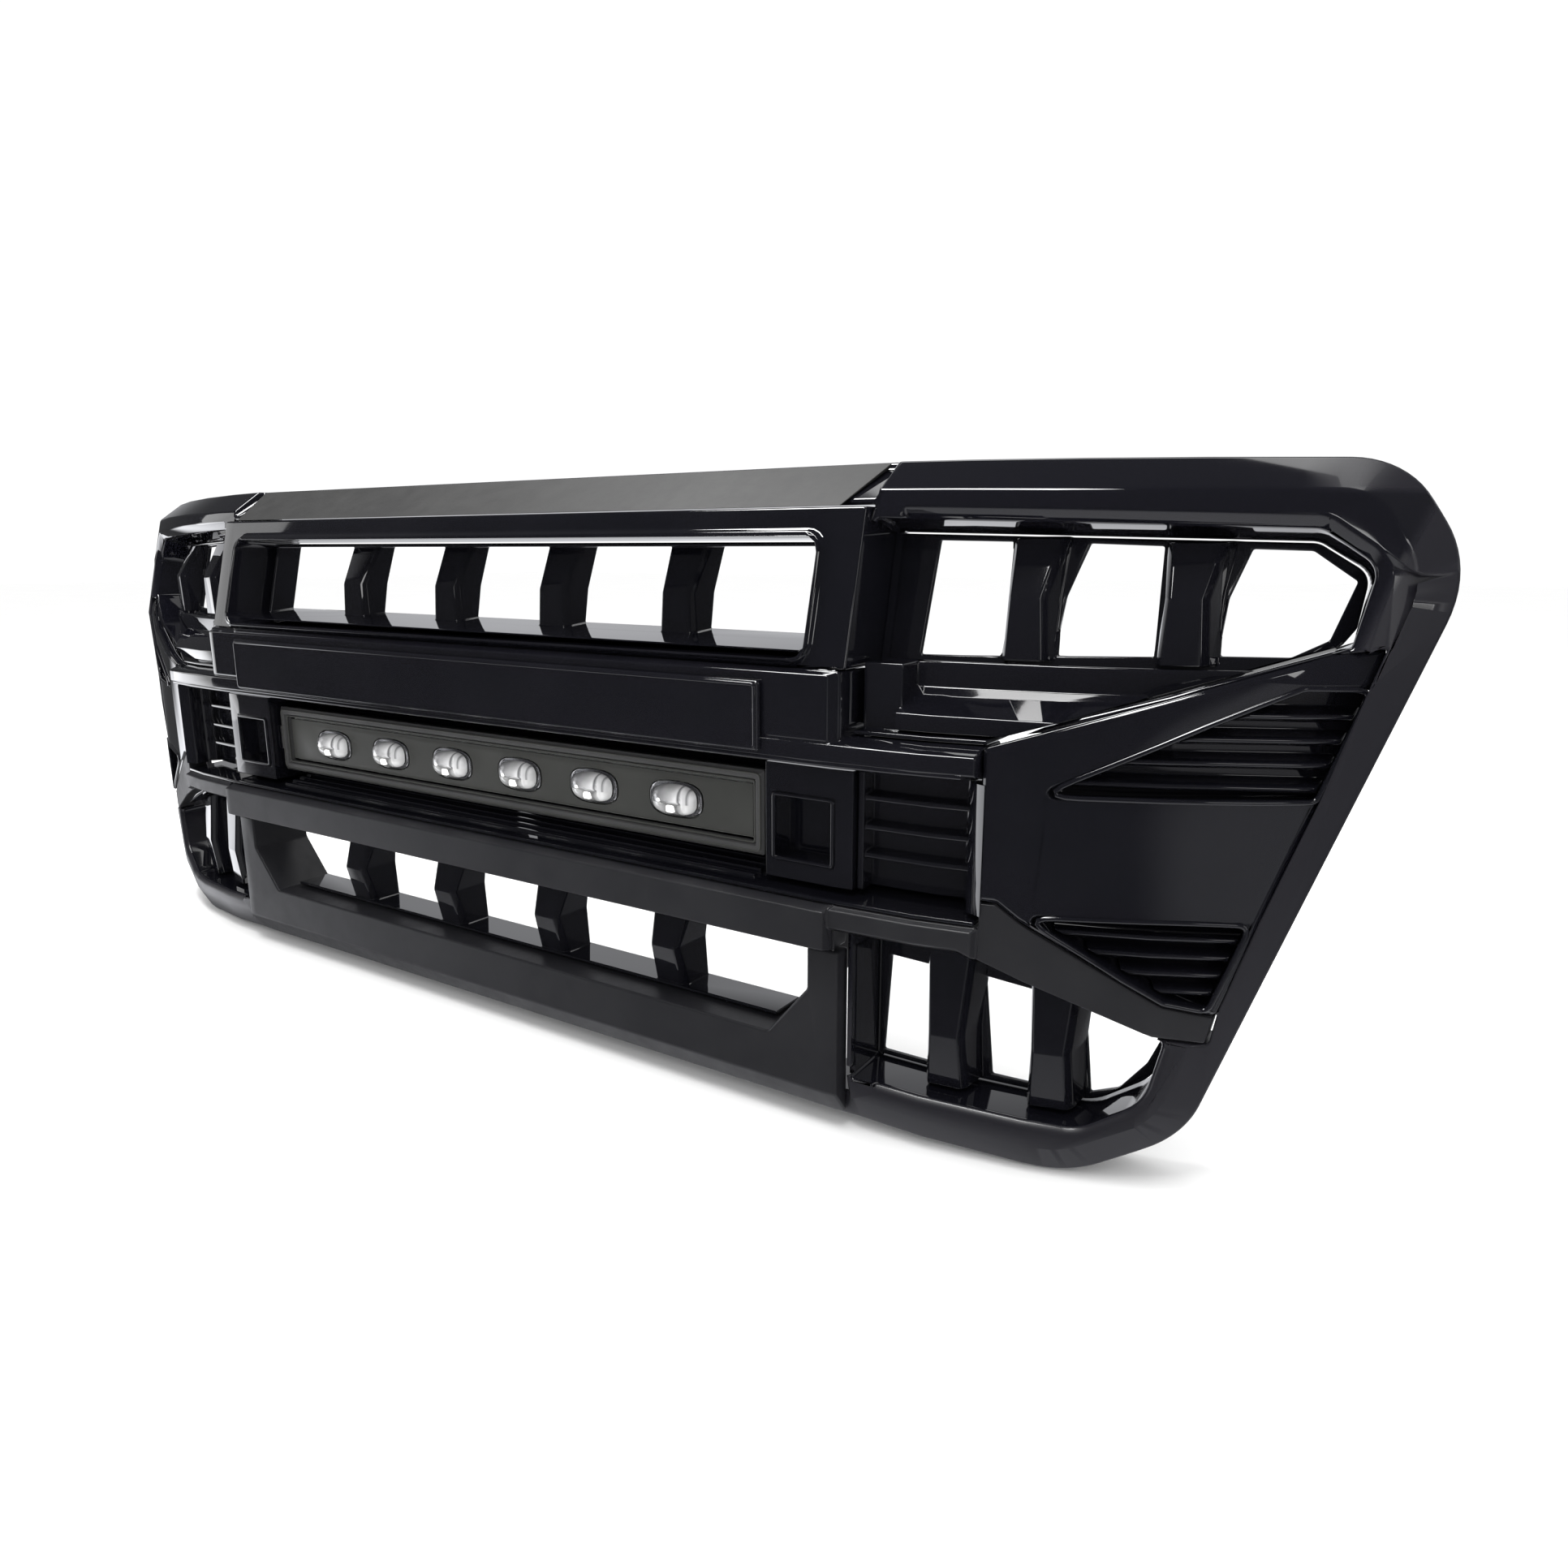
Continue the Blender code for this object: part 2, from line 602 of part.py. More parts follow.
# ---------------------------------------------------------------- the light bar, on its pivots

def light_parts(materials):
    """A finned case with a stepped bezel, a grey faceted face, a board and six optics."""
    parts = []
    y0, y1 = LIGHT_FRONT, LIGHT_FRONT + LIGHT_DEPTH
    outer = rect(-LIGHT_HALF + 2, LIGHT_HALF - 2, -LIGHT_Z + 2, LIGHT_Z - 2)
    case = prism(outer, y0 + 6, y1 - 6)
    cut(case, prism(inset(outer, 4), y0 + 2, y1 - 10))
    for i in range(7):
        z = -18.0 + i * 6.0
        join(case, box(-LIGHT_HALF + 8, LIGHT_HALF - 8, y1 - 7, y1, z - 1, z + 1))
    parts += finish(case, "light_case", materials["aluminium"], bent=False)
    face = rect(-LIGHT_HALF, LIGHT_HALF, -LIGHT_Z, LIGHT_Z)
    bezel = taper(inset(face, 2), y0, face, y0 + 2)
    join(bezel, prism(face, y0 + 1.9, y0 + 5.5))
    cut(bezel, taper(inset(face, 4.5), y0 - 2, inset(face, 9), y0 + 8))
    parts += finish(bezel, "light_bezel", materials["matte_black"], bent=False)
    inner = inset(face, 9.8)
    plate = prism(inner, y0 + 3.9, y0 + 5.4)
    join(plate, taper(rect(-212, 212, -14.5, 14.5), y0 + 2.6, inner, y0 + 4.0))
    for i in range(LED_COUNT):
        x = (i - (LED_COUNT - 1) / 2) * LED_PITCH
        cut(plate, prism(oval(x, 0, 22.5, 12.5), y0 - 5, y0 + 9))
    parts += finish(plate, "light_face", materials["face_grey"], bent=False)
    board = prism(inset(outer, 6), y0 + 8.5, y0 + 10)
    parts += finish(board, "light_board", materials["board"], bent=False)
    seal = prism(inset(outer, 0.4), y0 + 5.7, y0 + 5.95)
    cut(seal, prism(inset(outer, 3.6), y0, y0 + 9))
    parts += finish(seal, "light_seal", materials["rubber"], bent=False)
    for i in range(LED_COUNT):
        x = (i - (LED_COUNT - 1) / 2) * LED_PITCH
        cup = taper(oval(x, 0, 21.8, 11.8), y0 + 2.4, oval(x, 0, 12, 8), y0 + 8.2)
        cut(cup, taper(oval(x, 0, 21.0, 11.0), y0 + 2.0, oval(x, 0, 11, 7), y0 + 7.2))
        parts += finish(cup, f"led_reflector_{i + 1}", materials["silver"], bent=False, smooth=True)
        lens = dome(x, 17.5, 10.2, y0 + 1.9, y0 - 7.5)
        parts += finish(lens, f"led_lens_{i + 1}", materials["clear"], bent=False, smooth=True)
    for side, label in ((1, "right"), (-1, "left")):
        ear = rod((min(side * 248.4, side * 252.2), PIVOT_Y, 0), "X", 6, 3.8)
        parts += finish(ear, f"light_ear_{label}", materials["zinc"], bent=False, smooth=True)
    gland = rod((0, y1 + GAP, GLAND_Z), "Y", 6, 7)
    join(gland, rod((0, y1 + 5, GLAND_Z), "Y", 4.2, 7.5))
    parts += finish(gland, "cable_gland", materials["rubber"], bent=False, smooth=True)
    return parts


def oval(x, z, half_x, half_z, sides=20):
    """A squarish oval, as the optics have."""
    points = []
    for k in range(sides):
        a = 2 * math.pi * k / sides
        c, s = math.cos(a), math.sin(a)
        across = half_x * math.copysign(abs(c) ** SQUARENESS, c)
        up = half_z * math.copysign(abs(s) ** SQUARENESS, s)
        points.append((x + across, z + up))
    return points


def dome(x, half_x, half_z, y_base, y_top, rings=4):
    layers = []
    for k in range(rings + 1):
        a = 0.5 * math.pi * k / (rings + 0.6)
        size = math.cos(a)
        y = y_base + (y_top - y_base) * math.sin(a)
        layers.append([(px, y, pz) for px, pz in oval(x, 0, half_x * size, half_z * size)])
    return loft(layers)


def light_brackets(materials):
    """Fixed plates that stand on the tray's floor beside the bar's ears."""
    for side, label in ((1, "right"), (-1, "left")):
        x0, x1 = sorted((side * 252.8, side * 255.2))
        plate = box(x0, x1, 8, TRAY_REAR - GAP, -10, 10)
        finish(plate, f"light_bracket_{label}", materials["zinc"], bent=False)


def rear_fixings(materials):
    """Steel tabs on the back of the surround."""
    for side, label in ((1, "right"), (-1, "left")):
        for place, x, z in (("top", 250, 196), ("bottom", 250, -179)):
            x0, x1 = sorted((side * (x - 15), side * (x + 15)))
            tab = box(x0, x1, REAR + GAP, REAR + 2.5, z - 9, z + 9)
            cut(tab, rod((side * x, REAR - 5, z), "Y", 3.3, 15, sides=16))
            finish(tab, f"mount_tab_{place}_{label}", materials["zinc"])


def clear_scene():
    for thing in list(bpy.data.objects):
        bpy.data.objects.remove(thing)


def main():
    clear_scene()
    materials = make_materials()
    for build in (outer_surround, top_center_band, center_bezel, upper_center_slats, center_bar, name_panel,
                  light_tray, pocket_block, rib_pad, wing, vents, lower_bar, lower_center_panel,
                  lower_center_slats, side_slats, side_shelf, lower_side_slats, light_brackets, rear_fixings):
        build(materials)
    pivot = bpy.data.objects.new("light_pivot", None)
    bpy.context.scene.collection.objects.link(pivot)
    pivot.location = (0, (PIVOT_Y - ORIGIN_Y) * MM, 0)
    for part in light_parts(materials):
        part.parent = pivot
        part.data.transform(Matrix.Translation(-pivot.location))


main()
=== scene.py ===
"""Studio scene of a black front grille with a recessed light bar: finishes, rounded edges and fine detail."""
import json
import math

import bmesh
import bpy
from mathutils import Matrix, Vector

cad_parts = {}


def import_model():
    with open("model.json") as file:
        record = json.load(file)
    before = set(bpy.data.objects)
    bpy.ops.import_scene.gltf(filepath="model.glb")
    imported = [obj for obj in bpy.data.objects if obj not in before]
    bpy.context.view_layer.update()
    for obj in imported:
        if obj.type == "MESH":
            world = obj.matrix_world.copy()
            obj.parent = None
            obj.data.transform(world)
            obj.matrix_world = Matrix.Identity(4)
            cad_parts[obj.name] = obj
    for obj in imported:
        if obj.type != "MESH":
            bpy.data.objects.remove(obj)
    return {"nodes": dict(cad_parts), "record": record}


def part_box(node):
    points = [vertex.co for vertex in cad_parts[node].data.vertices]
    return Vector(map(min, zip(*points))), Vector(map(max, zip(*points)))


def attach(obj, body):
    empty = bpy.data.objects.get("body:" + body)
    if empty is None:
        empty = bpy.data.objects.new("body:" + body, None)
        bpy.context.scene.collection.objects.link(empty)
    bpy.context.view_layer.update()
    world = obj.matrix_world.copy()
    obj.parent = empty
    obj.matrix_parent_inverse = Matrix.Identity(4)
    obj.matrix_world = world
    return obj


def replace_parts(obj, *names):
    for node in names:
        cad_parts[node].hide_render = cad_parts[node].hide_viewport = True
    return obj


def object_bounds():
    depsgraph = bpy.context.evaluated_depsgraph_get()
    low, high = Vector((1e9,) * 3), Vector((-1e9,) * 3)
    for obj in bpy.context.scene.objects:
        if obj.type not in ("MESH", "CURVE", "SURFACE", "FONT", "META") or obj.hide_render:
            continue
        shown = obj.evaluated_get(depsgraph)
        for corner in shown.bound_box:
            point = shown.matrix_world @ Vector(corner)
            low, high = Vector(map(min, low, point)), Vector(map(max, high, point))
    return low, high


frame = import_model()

CAD_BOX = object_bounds()
MM = 0.001
NODES = frame["nodes"]
SLOTS = {entry["node"]: entry["material_slot"] for entry in frame["record"]["subparts"]}
HANDS = (("left", -1), ("right", 1))
FORWARD = Vector((0, -1, 0))


# ---------------------------------------------------------------- node helpers

SOCKETS = {"colour": "Base Color", "roughness": "Roughness", "metallic": "Metallic", "ior": "IOR",
           "coat": "Coat Weight", "coat_roughness": "Coat Roughness", "transmission": "Transmission Weight",
           "specular": "Specular IOR Level", "glow": "Emission Strength", "glow_colour": "Emission Color"}


class Nodes:
    """A node tree, with short calls for the nodes used here."""

    def __init__(self, tree):
        self.tree = tree

    def add(self, kind, **values):
        node = self.tree.nodes.new(kind)
        for key, value in values.items():
            setattr(node, key, value)
        return node

    def feed(self, socket, term):
        """Links a socket to another one, or sets its value."""
        if isinstance(term, bpy.types.NodeSocket):
            self.tree.links.new(term, socket)
        else:
            socket.default_value = term

    def maths(self, operation, *terms):
        node = self.add("ShaderNodeMath", operation=operation)
        for socket, term in zip(node.inputs, terms):
            self.feed(socket, term)
        return node.outputs["Value"]

    def spread(self, source, low, high, start=0.3, end=0.7, **values):
        """The source's range from start to end, mapped to low and high."""
        node = self.add("ShaderNodeMapRange", **values)
        for key, term in (("Value", source), ("From Min", start), ("From Max", end), ("To Min", low),
                          ("To Max", high)):
            self.feed(node.inputs[key], term)
        return node.outputs["Result"]


class Finish(Nodes):
    """A new material, with short calls for its colour, roughness and bump."""

    def __init__(self, name):
        self.material = bpy.data.materials.new(name)
        self.material.use_nodes = True
        super().__init__(self.material.node_tree)
        self.shader = self.tree.nodes["Principled BSDF"]
        self.coords = self.add("ShaderNodeTexCoord").outputs["Object"]

    def split(self, vector):
        """A vector's X, Y and Z."""
        node = self.add("ShaderNodeSeparateXYZ")
        self.feed(node.inputs["Vector"], vector)
        return tuple(node.outputs)

    def noise(self, scale, detail=3.0, roughness=0.5):
        node = self.add("ShaderNodeTexNoise")
        for key, term in (("Vector", self.coords), ("Scale", scale), ("Detail", detail),
                          ("Roughness", roughness)):
            self.feed(node.inputs[key], term)
        return node.outputs["Fac"]

    def ramp(self, source, *stops):
        node = self.add("ShaderNodeValToRGB")
        elements = node.color_ramp.elements
        while len(elements) < len(stops):
            elements.new(0.5)
        for element, (place, colour) in zip(elements, stops):
            element.position = place
            element.color = (*colour, 1.0)
        self.feed(node.inputs["Fac"], source)
        return node.outputs["Color"]

    def greys(self, source, *stops):
        """A ramp of plain greys, each (place, level)."""
        return self.ramp(source, *((place, (level, level, level)) for place, level in stops))

    def mix(self, factor, first, second, blend_type="MIX"):
        node = self.add("ShaderNodeMix", data_type="RGBA", blend_type=blend_type)
        for index, term in ((0, factor), (6, first), (7, second)):
            self.feed(node.inputs[index], term)
        return node.outputs[2]

    def bump(self, *layers):
        """Stacked bumps, each (height, strength, distance in metres)."""
        normal = None
        for height, strength, distance in layers:
            node = self.add("ShaderNodeBump")
            for key, term in (("Height", height), ("Strength", strength), ("Distance", distance)):
                self.feed(node.inputs[key], term)
            if normal:
                self.feed(node.inputs["Normal"], normal)
            normal = node.outputs["Normal"]
        self.feed(self.shader.inputs["Normal"], normal)

    def set(self, **terms):
        """Sets the shader's sockets, each from a number, a colour or another socket."""
        for key, term in terms.items():
            self.feed(self.shader.inputs[SOCKETS[key]], term)


# ---------------------------------------------------------------- finishes

GLOSS_WAVE = (0.07, 0.0005)  # the moulding's faint waviness: strength and depth


def gloss_black():
    """Lacquered black plastic."""
    g = Finish("gloss_black")
    cloud = g.noise(9.0, 4.0, 0.55)
    g.set(colour=g.ramp(cloud, (0.3, (0.0035, 0.0036, 0.0055)), (0.7, (0.0062, 0.0062, 0.0085))),
          roughness=g.spread(g.noise(18.0), 0.03, 0.06), coat=1.0, coat_roughness=0.02, ior=1.5)
    g.bump((g.noise(11.0, 0.0), *GLOSS_WAVE))
    return g.material


EDGE_SLOPE = 0.3226  # the surround's slanting ends: metres across for each metre up
EDGE_AT_ZERO = 0.5546
# Where each satin region fades in, in metres, and for the foot also how far its faces turn to the front.
BAND_FADE = (EDGE_AT_ZERO - 0.034, EDGE_AT_ZERO - 0.028)
FOOT_FADE = (-0.115, -0.095)
TOP_FADE = (0.186, 0.19)
CORNER_FADE = (0.525, 0.56)
FRONT_FADE = (-0.6, -0.35)
SATIN_ROUGHER = 0.3


def surround_black():
    """Gloss over the top and inside, satin on the outer band and along the foot."""
    g = Finish("surround_black")
    x, _, z = g.split(g.coords)
    _, facing, _ = g.split(g.add("ShaderNodeNewGeometry").outputs["True Normal"])
    across = g.maths("ABSOLUTE", x)
    band = g.spread(g.maths("MULTIPLY_ADD", z, -EDGE_SLOPE, across), 0.0, 1.0, *BAND_FADE)
    corner = g.maths("MULTIPLY", g.spread(z, 0.0, 1.0, *TOP_FADE), g.spread(across, 0.0, 1.0, *CORNER_FADE))
    foot = g.maths("MULTIPLY", g.spread(z, 1.0, 0.0, *FOOT_FADE), g.spread(facing, 1.0, 0.0, *FRONT_FADE))
    satin = g.maths("MAXIMUM", g.maths("MAXIMUM", band, corner), foot)
    g.set(colour=g.ramp(satin, (0.0, (0.005, 0.005, 0.0075)), (1.0, (0.014, 0.0135, 0.018))),
          roughness=g.maths("MULTIPLY_ADD", satin, SATIN_ROUGHER, g.spread(g.noise(18.0), 0.03, 0.07)),
          coat=g.spread(satin, 1.0, 0.0, 0.0, 1.0), coat_roughness=0.03, ior=1.5)
    g.bump((g.noise(11.0, 0.0), *GLOSS_WAVE))
    return g.material


def satin_black(name, dark, light, rough):
    """Fine-grained moulded plastic."""
    g = Finish(name)
    g.set(colour=g.ramp(g.noise(11.0, 5.0, 0.6), (0.3, dark), (0.7, light)),
          roughness=g.spread(g.noise(70.0, 5.0, 0.6), rough - 0.05, rough + 0.06), ior=1.5)
    g.bump((g.noise(1100.0, 2.0), 0.1, 0.00006), (g.noise(34.0, 2.0), 0.08, 0.0003))
    return g.material


def metal(name, dark, light, rough, grain=900.0, depth=0.2):
    """Bare metal with a fine grain."""
    g = Finish(name)
    g.set(colour=g.ramp(g.noise(30.0, 5.0, 0.6), (0.3, dark), (0.7, light)),
          roughness=g.spread(g.noise(grain, 3.0, 0.6), rough - 0.08, rough + 0.1), metallic=1.0)
    g.bump((g.noise(grain), depth, 0.0001))
    return g.material


LED_COUNT = 6
LED_HALF_PITCH = 36.0 * MM
OPTIC_HALF = 17.5 * MM
LEDGE_FADE = (-1.6 * MM, -1.2 * MM)  # the ledge in each optic, below its middle, where the painted highlights switch from the upper pattern to the lower


def optic_painted_light():
    """A moulded optic whose colour is painted light, repeating at every LED: painted highlights and dark
    bands, grey to white above its ledge and pale below, under a random grain.
    """
    g = Finish("optic_painted_light")
    x, _, z = g.split(g.coords)
    across = g.maths("WRAP", g.maths("SUBTRACT", x, LED_HALF_PITCH), LED_HALF_PITCH, -LED_HALF_PITCH)
    along = g.spread(across, 0.0, 1.0, -OPTIC_HALF, OPTIC_HALF)
    # Painted highlights and painted dark bands across each optic, standing in for its reflections.
    upper = g.ramp(along, (0.0, (0.12, 0.12, 0.13)), (0.3, (0.3, 0.3, 0.31)), (0.6, (0.75, 0.75, 0.76)),
                   (0.7, (0.97, 0.97, 0.98)), (0.73, (0.16, 0.16, 0.17)), (0.77, (0.97, 0.97, 0.98)),
                   (0.86, (0.9, 0.9, 0.91)), (0.89, (0.3, 0.3, 0.31)), (0.93, (0.98, 0.98, 0.99)))
    lower = g.greys(along, (0.0, 0.85), (0.4, 0.45), (0.7, 0.2), (0.8, 0.95))
    painted_light = g.mix(g.spread(z, 0.0, 1.0, *LEDGE_FADE), lower, upper)
    grain = g.greys(g.noise(120.0, 1.0), (0.35, 0.8), (0.6, 1.0))
    g.set(colour=g.mix(1.0, painted_light, grain, "MULTIPLY"), roughness=g.spread(g.noise(150.0, 2.0), 0.06, 0.2),
          metallic=0.15, coat=1.0, coat_roughness=0.02, ior=1.5)
    g.bump((g.noise(130.0, 1.0), 0.15, 0.0005))
    return g.material


def chip_painted_glow():
    """The small squares in the optics, with a painted glow: they shine though the light bar is not lit."""
    g = Finish("chip_painted_glow")
    # The glow is painted light: the chips shine as if lit, standing in for their bright reflections.
    g.set(colour=g.ramp(g.noise(500.0, 2.0), (0.3, (0.95, 0.95, 0.93)), (0.7, (0.99, 0.99, 0.97))),
          roughness=g.spread(g.noise(300.0, 2.0), 0.2, 0.4), glow=0.9, glow_colour=(1, 1, 0.98, 1))
    g.bump((g.noise(900.0, 1.0), 0.1, 0.0001))
    return g.material


def clear_optic():
    """Clear plastic, faintly uneven."""
    g = Finish("clear_optic")
    g.set(colour=g.ramp(g.noise(160.0, 2.0), (0.35, (0.78, 0.8, 0.82)), (0.65, (0.9, 0.91, 0.93))),
          roughness=g.spread(g.noise(300.0, 2.0), 0.02, 0.07), transmission=0.75, ior=1.49, coat=1.0,
          coat_roughness=0.02)
    g.bump((g.noise(120.0, 1.0), 0.1, 0.0002))
    return g.material


def board_white():
    g = Finish("board_white")
    g.set(colour=g.ramp(g.noise(90.0, 4.0), (0.3, (0.42, 0.43, 0.42)), (0.7, (0.55, 0.56, 0.55))),
          roughness=g.spread(g.noise(260.0), 0.35, 0.5))
    g.bump((g.noise(800.0, 2.0), 0.1, 0.0001))
    return g.material


def floor_paper():
    g = Finish("floor_paper")
    g.set(colour=g.ramp(g.noise(3.0, 4.0), (0.3, (0.96, 0.96, 0.958)), (0.7, (0.975, 0.975, 0.973))),
          roughness=0.9, specular=0.1)
    return g.material


MATERIALS = {
    "gloss_black": gloss_black(),
    "satin_black": satin_black("satin_black", (0.012, 0.012, 0.015), (0.018, 0.018, 0.021), 0.4),
    "matte_black": satin_black("matte_black", (0.045, 0.045, 0.046), (0.06, 0.06, 0.061), 0.5),
    "grey_face": satin_black("grey_face", (0.043, 0.044, 0.041), (0.053, 0.054, 0.05), 0.36),
    "clear_lens": clear_optic(),
    "silver_reflector": metal("silver_reflector", (0.8, 0.8, 0.82), (0.92, 0.92, 0.93), 0.14, 400.0, 0.06),
    "dark_aluminium": metal("dark_aluminium", (0.05, 0.05, 0.055), (0.075, 0.075, 0.08), 0.45, depth=0.4),
    "zinc_steel": metal("zinc_steel", (0.42, 0.42, 0.43), (0.58, 0.58, 0.57), 0.32),
    "black_rubber": satin_black("black_rubber", (0.014, 0.014, 0.014), (0.024, 0.024, 0.024), 0.72),
    "board": board_white(),
}
OWN_FINISH = {
    "outer_surround": surround_black(),
    # The top band is a lighter copy of satin_black: its brighter base colour is painted sheen for the
    # overhead light it mirrors.
    "top_center_band": satin_black("satin_band_painted_sheen", (0.032, 0.032, 0.032), (0.042, 0.042, 0.041), 0.46),
}
OPTIC = optic_painted_light()
CHIP_PAINTED_GLOW = chip_painted_glow()


# ---------------------------------------------------------------- the carried-over nodes

# How far each node's edges are rounded, in millimetres.
ROUNDING = {"center_bar": 1.3, "name_panel": 1.7, "center_bezel": 1.7, "wing_left": 1.2, "wing_right": 1.2,
            "outer_surround": 1.7, "lower_bar": 1.2, "lower_center_panel": 1.6, "top_center_band": 0.5,
            "pocket_block_left": 0.5, "pocket_block_right": 0.5, "light_tray": 0.7, "light_bezel": 0.5,
            "light_case": 0.4, "light_face": 0.25, "light_board": 0.2, "light_seal": 0.0, "cable_gland": 0.4}
OTHER_ROUNDING, BLADE_ROUNDING = 0.9, 1.0
EDGE_ANGLE = 28.0
BLADE_ANGLE = 8.0  # the blades' shallow kinks are edges too
WELD_REACH = 0.02
FLAT_FACE_WEIGHT = 60


def round_edges(thing, width, angle):
    """Moulded edges: joins the split corners, then rounds what is sharp."""
    for polygon in thing.data.polygons:
        polygon.use_smooth = True
    weld = thing.modifiers.new("weld", "WELD")
    weld.merge_threshold = WELD_REACH * MM
    if width:
        bevel = thing.modifiers.new("rounding", "BEVEL")
        bevel.width = width * MM
        bevel.segments = 2
        bevel.limit_method = "ANGLE"
        bevel.angle_limit = math.radians(angle)
        bevel.use_clamp_overlap = False
        bevel.loop_slide = False
        bevel.miter_outer = "MITER_ARC"
    weighted = thing.modifiers.new("weighted", "WEIGHTED_NORMAL")
    weighted.keep_sharp = True
    weighted.weight = FLAT_FACE_WEIGHT


def finish_nodes():
    """Each CAD node gets its finish, and all but the hidden optics get rounded edges."""
    for name, thing in NODES.items():
        thing.data.materials.clear()
        thing.data.materials.append(OWN_FINISH.get(name) or MATERIALS[SLOTS[name]])
        if "slats" in name:
            round_edges(thing, BLADE_ROUNDING, BLADE_ANGLE)
        elif not name.startswith(("led_lens", "led_reflector")):
            round_edges(thing, ROUNDING.get(name, OTHER_ROUNDING), EDGE_ANGLE)


# ---------------------------------------------------------------- making new pieces

# The grille's shared bend, in millimetres from the middle of its recess, as its nodes have it.
ORIGIN_Y = 47.0
SWEEP_START, SWEEP_FACTOR, SWEEP_STEP = 300.0, 0.00094, 60.0
RAKE_START, RAKE = 95.0, 0.25
WING_START, WING_SLANT = 395.0, 0.09
SHARP_ANGLE = 40.0
TUBE_SIDES = 10
CORNER_STEPS = 5
CORNER_SHARE = 0.4  # the most of a side that the rounding at one of its ends takes
PATH_SPACING = 25.0


def placed(x, y, z, on_wing=False):
    """A point of the flat drawing in its place on the swept and raked grille, in metres."""
    reach = max(0.0, abs(x) - SWEEP_START) / SWEEP_STEP
    step = math.floor(reach)
    low, high = (SWEEP_FACTOR * (count * SWEEP_STEP) ** 2 for count in (step, step + 1))
    y += low + (high - low) * (reach - step) + RAKE * max(0.0, z - RAKE_START)
    if on_wing:
        y += WING_SLANT * max(0.0, abs(x) - WING_START)
    return Vector((x, y - ORIGIN_Y, z)) * MM


def flat_y(y):
    """The flat drawing's y, in millimetres, of a place in the middle of the grille."""
    return y / MM + ORIGIN_Y


def piece(name, mesh, slot="gloss_black", body="grille", material=None):
    """A mesh made into an object that rides on a body; its finish is its slot's, unless it has its own."""
    bmesh.ops.recalc_face_normals(mesh, faces=mesh.faces[:])
    data = bpy.data.meshes.new(name)
    mesh.to_mesh(data)
    mesh.free()
    data.shade_smooth()
    data.set_sharp_from_angle(angle=math.radians(SHARP_ANGLE))
    data.materials.append(material or MATERIALS[slot])
    thing = bpy.data.objects.new(name, data)
    bpy.context.scene.collection.objects.link(thing)
    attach(thing, body)
    return thing


def join_rows(mesh, low, high):
    """The faces between two closed rows of points."""
    count = len(low)
    for k in range(count):
        mesh.faces.new((low[k], low[(k + 1) % count], high[(k + 1) % count], high[k]))


def cap_ends(mesh, rows):
    mesh.faces.new(rows[0])
    mesh.faces.new(list(reversed(rows[-1])))


def tube(mesh, path, radius, up=FORWARD, closed=True):
    """A round bead along a path of points."""
    count = len(path)
    rows = []
    for i, point in enumerate(path):
        before = path[i - 1] if closed or i else point
        after = path[(i + 1) % count] if closed or i < count - 1 else point
        along = (after - before).normalized()
        side = along.cross(up).normalized()
        rise = side.cross(along).normalized()
        rows.append([mesh.verts.new(point + (side * math.cos(a) + rise * math.sin(a)) * radius * MM)
                     for a in (2 * math.pi * k / TUBE_SIDES for k in range(TUBE_SIDES))])
    for low, high in zip(rows, rows[1:]):
        join_rows(mesh, low, high)
    if closed:
        join_rows(mesh, rows[-1], rows[0])
    else:
        cap_ends(mesh, rows)


def rounded_path(corners, radius):
    """A closed outline of (x, z) corners, rounded, with points no further apart than PATH_SPACING."""
    points = []
    count = len(corners)
    for i, corner in enumerate(corners):
        here = Vector(corner)
        before = Vector(corners[i - 1]) - here
        after = Vector(corners[(i + 1) % count]) - here
        most = CORNER_SHARE * min(before.length, after.length)
        run = min(radius / math.tan(before.angle(after) / 2), most)
        start, end = here + before.normalized() * run, here + after.normalized() * run
        for k in range(CORNER_STEPS + 1):
            t = k / CORNER_STEPS
            points.append(start * (1 - t) ** 2 + here * 2 * t * (1 - t) + end * t ** 2)
    filled = []
    for a, b in zip(points, points[1:] + points[:1]):
        parts = max(1, math.ceil((b - a).length / PATH_SPACING))
        filled += [a.lerp(b, k / parts) for k in range(parts)]
    return filled


def outwards(points, distance):
    """The outline moved out from its middle by about distance."""
    middle = sum(points, Vector((0, 0))) / len(points)
    return [p + (p - middle).normalized() * distance for p in points]


def rectangle(x0, x1, z0, z1):
    return ((x0, z0), (x1, z0), (x1, z1), (x0, z1))


def rectangle_bead(name, corners, y, radius, rounding, slot="gloss_black", body="grille"):
    """A bead of this radius round an outline whose corners are rounded, both in millimetres."""
    mesh = bmesh.new()
    tube(mesh, [placed(p.x, y, p.y) for p in rounded_path(corners, rounding)], radius)
    piece(name, mesh, slot, body)


def column(mesh, profile, side, z0, z1):
    """An upright moulding with a closed (x, y) profile, from z0 to z1."""
    rows = [[mesh.verts.new(placed(side * x, y, z)) for x, y in profile] for z in (z0, z1)]
    join_rows(mesh, *rows)
    cap_ends(mesh, rows)


def dished(mesh, rings):
    """A skin through rings of points, closed at the last."""
    rows = [[mesh.verts.new(p) for p in ring] for ring in rings]
    for low, high in zip(rows, rows[1:]):
        join_rows(mesh, low, high)
    mesh.faces.new(rows[-1])


# ---------------------------------------------------------------- beads, lips and seams of the grille

UPPER_VENT = ((422, 32.5), (548, 35), (566, 91), (538, 91))
LOWER_VENT = ((419, -35), (489, -77), (509, -81), (525, -33))
VENT_Y, VENT_CORNER, VENT_OUT, VENT_RADIUS = -9.9, 5, 1.2, 1.5


